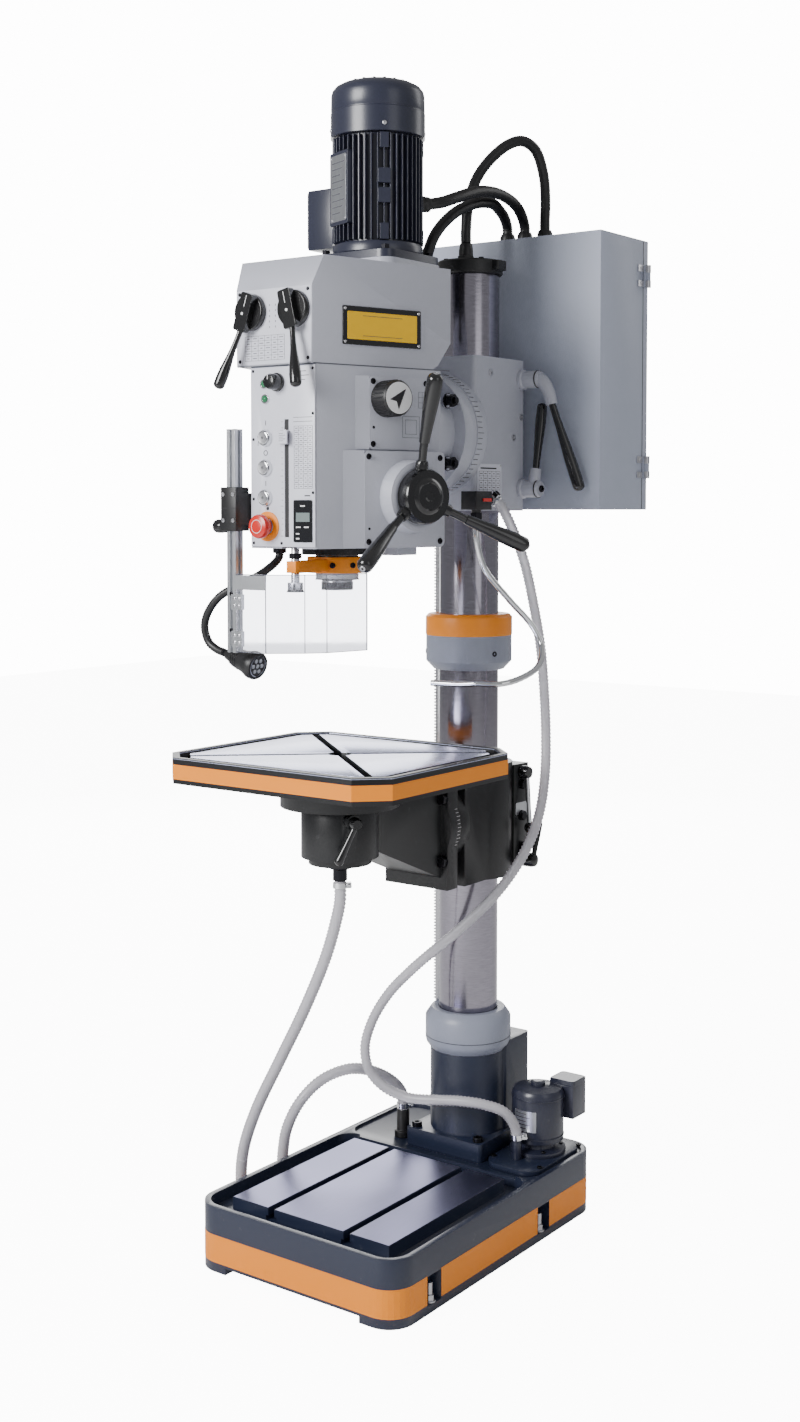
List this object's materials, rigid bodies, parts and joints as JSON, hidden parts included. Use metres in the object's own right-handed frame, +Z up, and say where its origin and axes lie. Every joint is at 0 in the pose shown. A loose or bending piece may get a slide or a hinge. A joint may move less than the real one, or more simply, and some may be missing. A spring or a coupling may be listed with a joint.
{
  "type": "gear-head column drill press",
  "caption": "Floor-standing gear-head drill on a round column: tilting head with feed capstan, guard, lamp, lifting table, coolant pump in the base and rear control cabinet.",
  "frame": {"origin": "the column's axis on the floor, under the base casting", "axes": "+Z up along the column, +X to the operator's right, -Y towards the operator"},
  "size_m": [0.6136, 0.9057, 2.122],
  "materials": {
    "light_grey_paint": "semi-gloss enamel on cast iron",
    "panel_white": "printed aluminium plate, satin",
    "slate_paint": "semi-gloss enamel on cast iron",
    "near_black_paint": "semi-gloss enamel on cast iron",
    "collar_orange": "gloss enamel",
    "collar_grey": "semi-gloss enamel",
    "ground_steel": "ground and oiled",
    "table_iron": "ground top on painted casting",
    "chrome": "polished",
    "black_plastic": "gloss moulded",
    "cabinet_paint": "powder coat",
    "clear_plastic": "clear polycarbonate",
    "hose_plastic": "ribbed semi-clear PVC",
    "conduit_black": "ribbed nylon conduit",
    "aluminium": "anodised extrusion",
    "red_plastic": "gloss moulded",
    "button_steel": "metal push button"
  },
  "bodies": {
    "frame": {"base_casting": "slate_paint", "tank_cover": "slate_paint", "column_foot": "slate_paint", "column": "ground_steel", "foot_collar": "collar_grey", "upper_collar": "collar_orange", "column_cap": "black_plastic", "coolant_pump": "slate_paint", "return_fitting": "black_plastic", "supply_hose": "hose_plastic", "column_conduit": "conduit_black", "drain_hose": "hose_plastic"},
    "rack": {"rack": "ground_steel"},
    "table_bracket": {"table_bracket": "near_black_paint"},
    "bracket_lever_upper": {"bracket_clamp_lever_upper": "chrome"},
    "bracket_lever_lower": {"bracket_clamp_lever_lower": "black_plastic"},
    "elevating_crank": {"elevating_crank": "black_plastic"},
    "crank_grip": {"crank_grip": "black_plastic"},
    "table_arm": {"table_arm": "near_black_paint", "drain_fitting": "near_black_paint"},
    "table_lock_lever": {"table_lock_lever": "black_plastic"},
    "work_table": {"work_table": "table_iron"},
    "head_bracket": {"head_bracket": "light_grey_paint", "coolant_valve": "black_plastic", "electrical_cabinet": "cabinet_paint", "motor_conduit": "conduit_black", "control_conduit": "conduit_black"},
    "head_lever_upper": {"head_clamp_lever_upper": "light_grey_paint"},
    "head_lever_lower": {"head_clamp_lever_lower": "light_grey_paint"},
    "coolant_nozzle": {"coolant_nozzle": "chrome"},
    "cabinet_door": {"cabinet_door": "cabinet_paint"},
    "head": {"head_casting": "light_grey_paint", "gearbox_housing": "light_grey_paint", "control_panel": "panel_white", "feed_cover": "light_grey_paint", "selector_cover": "light_grey_paint", "motor_body": "slate_paint", "motor_fan_cover": "slate_paint", "motor_terminal_box": "slate_paint", "guard_clamp": "black_plastic", "lamp_arm": "conduit_black"},
    "speed_lever_left": {"speed_lever_left": "black_plastic"},
    "speed_lever_right": {"speed_lever_right": "black_plastic"},
    "feed_selector_knob": {"feed_selector_knob": "black_plastic"},
    "capstan": {"capstan_hub": "black_plastic", "capstan_arm_1": "black_plastic", "capstan_arm_2": "black_plastic", "capstan_arm_3": "black_plastic"},
    "quill": {"quill": "ground_steel", "quill_collar": "collar_orange", "depth_rod": "chrome"},
    "spindle": {"spindle": "ground_steel"},
    "push_button_start": {"push_button_start": "button_steel"},
    "push_button_reverse": {"push_button_reverse": "button_steel"},
    "push_button_stop": {"push_button_stop": "button_steel"},
    "emergency_stop": {"emergency_stop_button": "red_plastic"},
    "mode_selector": {"mode_selector": "black_plastic"},
    "guard_post": {"guard_post": "aluminium"},
    "guard_shield": {"guard_shield": "clear_plastic"},
    "lamp_head": {"lamp_head": "black_plastic"}
  },
  "joints": [
    {"name": "table_swing", "type": "hinge", "parent": "frame", "child": "rack", "pos_m": [0, 0, 0.7], "axis": [0, 0, 1], "range_deg": [-90, 90], "deforming": ["drain_hose"]},
    {"name": "table_lift", "type": "slide", "parent": "rack", "child": "table_bracket", "axis": [0, 0, 1], "range_m": [-0.25, 0.12], "deforming": ["drain_hose"]},
    {"name": "bracket_clamp_upper", "type": "hinge", "parent": "table_bracket", "child": "bracket_lever_upper", "pos_m": [0.09, 0.066, 0.848], "axis": [1, 0, 0], "range_deg": [-60, 0]},
    {"name": "bracket_clamp_lower", "type": "hinge", "parent": "table_bracket", "child": "bracket_lever_lower", "pos_m": [0.09, 0.066, 0.676], "axis": [1, 0, 0], "range_deg": [-60, 0]},
    {"name": "elevating_crank_turn", "type": "hinge", "parent": "table_bracket", "child": "elevating_crank", "pos_m": [-0.14, 0.003, 0.75], "axis": [1, 0, 0], "range_deg": [-4510, 2170]},
    {"name": "crank_grip_spin", "type": "hinge", "parent": "elevating_crank", "child": "crank_grip", "pos_m": [-0.2, -0.112, 0.75], "axis": [1, 0, 0], "continuous": true},
    {"name": "table_tilt", "type": "hinge", "parent": "table_bracket", "child": "table_arm", "pos_m": [0, -0.143, 0.77], "axis": [0, 1, 0], "range_deg": [-45, 45], "deforming": ["drain_hose"]},
    {"name": "table_lock", "type": "hinge", "parent": "table_arm", "child": "table_lock_lever", "pos_m": [0.084, -0.468, 0.824], "axis": [0.8, -0.6, 0], "range_deg": [0, 70]},
    {"name": "table_turn", "type": "hinge", "parent": "table_arm", "child": "work_table", "pos_m": [0, -0.407, 0.86], "axis": [0, 0, 1], "continuous": true},
    {"name": "head_swing", "type": "hinge", "parent": "frame", "child": "head_bracket", "pos_m": [0, 0, 1.5], "axis": [0, 0, -1], "range_deg": [-45, 45], "deforming": ["supply_hose", "column_conduit"]},
    {"name": "head_clamp_upper", "type": "hinge", "parent": "head_bracket", "child": "head_lever_upper", "pos_m": [0.11, 0.05, 1.612], "axis": [1, 0, 0], "range_deg": [-70, 0]},
    {"name": "head_clamp_lower", "type": "hinge", "parent": "head_bracket", "child": "head_lever_lower", "pos_m": [0.11, 0.05, 1.402], "axis": [1, 0, 0], "range_deg": [0, 60]},
    {"name": "nozzle_swivel", "type": "hinge", "parent": "head_bracket", "child": "coolant_nozzle", "pos_m": [0.105, -0.132, 1.342], "axis": [0, 0, 1], "range_deg": [-20, 35]},
    {"name": "cabinet_door_hinge", "type": "hinge", "parent": "head_bracket", "child": "cabinet_door", "pos_m": [0.244, 0.266, 1.6], "axis": [0, 0, -1], "range_deg": [0, 110]},
    {"name": "head_tilt", "type": "hinge", "parent": "head_bracket", "child": "head", "pos_m": [0, -0.142, 1.503], "axis": [0, 1, 0], "range_deg": [-45, 45], "deforming": ["motor_conduit", "control_conduit"]},
    {"name": "speed_lever_left_turn", "type": "hinge", "parent": "head", "child": "speed_lever_left", "pos_m": [-0.047, -0.59, 1.692], "axis": [0, 1, 0], "range_deg": [-30, 30]},
    {"name": "speed_lever_right_turn", "type": "hinge", "parent": "head", "child": "speed_lever_right", "pos_m": [0.047, -0.59, 1.692], "axis": [0, 1, 0], "range_deg": [-30, 30]},
    {"name": "feed_selector_turn", "type": "hinge", "parent": "head", "child": "feed_selector_knob", "pos_m": [0.1432, -0.45122, 1.548], "axis": [0.9557, -0.2943, 0], "range_deg": [-90, 90]},
    {"name": "quill_feed", "type": "slide", "parent": "head", "child": "quill", "axis": [0, 0, -1], "range_m": [0, 0.16], "stiffness_N_per_m": 250, "springref_m": -0.6},
    {"name": "capstan_turn", "type": "hinge", "parent": "head", "child": "capstan", "pos_m": [0.1857, -0.41513, 1.384], "axis": [0.9557, -0.2943, 0], "range_deg": [0, 462]},
    {"name": "spindle_spin", "type": "hinge", "parent": "quill", "child": "spindle", "pos_m": [0, -0.414, 1.3], "axis": [0, 0, 1], "continuous": true},
    {"name": "start_button_press", "type": "slide", "parent": "head", "child": "push_button_start", "axis": [0, 1, 0], "range_m": [0, 0.004], "stiffness_N_per_m": 300, "springref_m": -0.002},
    {"name": "reverse_button_press", "type": "slide", "parent": "head", "child": "push_button_reverse", "axis": [0, 1, 0], "range_m": [0, 0.004], "stiffness_N_per_m": 300, "springref_m": -0.002},
    {"name": "stop_button_press", "type": "slide", "parent": "head", "child": "push_button_stop", "axis": [0, 1, 0], "range_m": [0, 0.004], "stiffness_N_per_m": 300, "springref_m": -0.002},
    {"name": "emergency_stop_press", "type": "slide", "parent": "head", "child": "emergency_stop", "axis": [0, 1, 0], "range_m": [0, 0.005], "stiffness_N_per_m": 500, "springref_m": -0.002},
    {"name": "mode_selector_turn", "type": "hinge", "parent": "head", "child": "mode_selector", "pos_m": [0.004, -0.585, 1.574], "axis": [0, 1, 0], "range_deg": [-45, 45]},
    {"name": "guard_height", "type": "slide", "parent": "head", "child": "guard_post", "axis": [0, 0, 1], "range_m": [-0.08, 0.04]},
    {"name": "guard_swing", "type": "hinge", "parent": "guard_post", "child": "guard_shield", "pos_m": [-0.066, -0.607, 1.18], "axis": [0, 0, -1], "range_deg": [0, 100]},
    {"name": "lamp_head_tilt", "type": "hinge", "parent": "head", "child": "lamp_head", "pos_m": [-0.147, -0.546, 1.113], "axis": [0, 1, 0], "range_deg": [-30, 30]}
  ],
  "couplings": [
    {"joint": "elevating_crank_turn", "follows": "table_lift", "rad_per_m": 314.16},
    {"joint": "capstan_turn", "follows": "quill_feed", "rad_per_m": 50.265}
  ]
}
